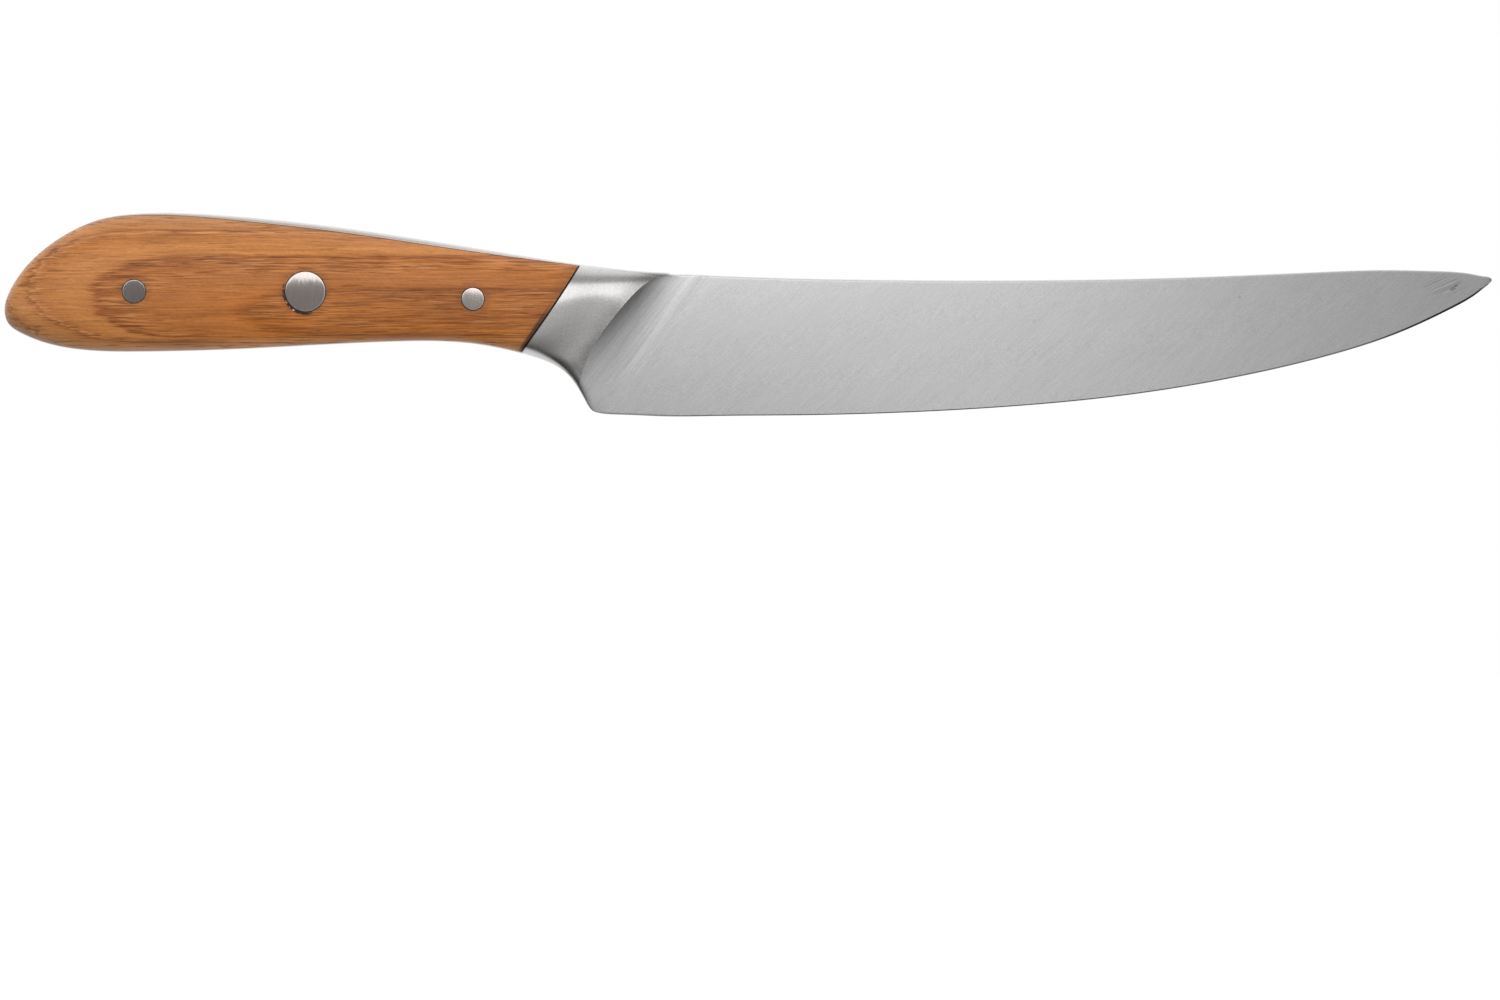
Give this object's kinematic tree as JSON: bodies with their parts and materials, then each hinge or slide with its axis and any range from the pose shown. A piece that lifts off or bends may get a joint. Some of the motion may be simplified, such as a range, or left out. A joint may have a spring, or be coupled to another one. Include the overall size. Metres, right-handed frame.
{
  "type": "kitchen carving knife",
  "caption": "Forged full-tang kitchen knife with a long swept blade, slanted integral bolster and riveted wooden handle scales.",
  "frame": {"origin": "centre of the knife's bounding box, on its plane of symmetry", "axes": "+X from the butt of the handle to the tip, +Y towards the left side of the knife, +Z from the cutting edge towards the spine"},
  "size_m": [0.332, 0.0208, 0.0455],
  "materials": {
    "blade_steel": "satin, fine diagonal grinding lines, softer blasted bolster",
    "handle_wood": "oiled ring-porous hardwood, honey brown, low sheen",
    "dark_epoxy": "dark cured adhesive line",
    "rivet_steel": "linished flush with the wood"
  },
  "bodies": {
    "root": {"forged_blade": "blade_steel", "scale_right": "handle_wood", "scale_left": "handle_wood", "adhesive_bed_right": "dark_epoxy", "adhesive_bed_left": "dark_epoxy", "rivet_rear_male": "rivet_steel", "rivet_rear_female": "rivet_steel", "rivet_middle_male": "rivet_steel", "rivet_middle_female": "rivet_steel", "rivet_front_male": "rivet_steel", "rivet_front_female": "rivet_steel"}
  },
  "joints": []
}
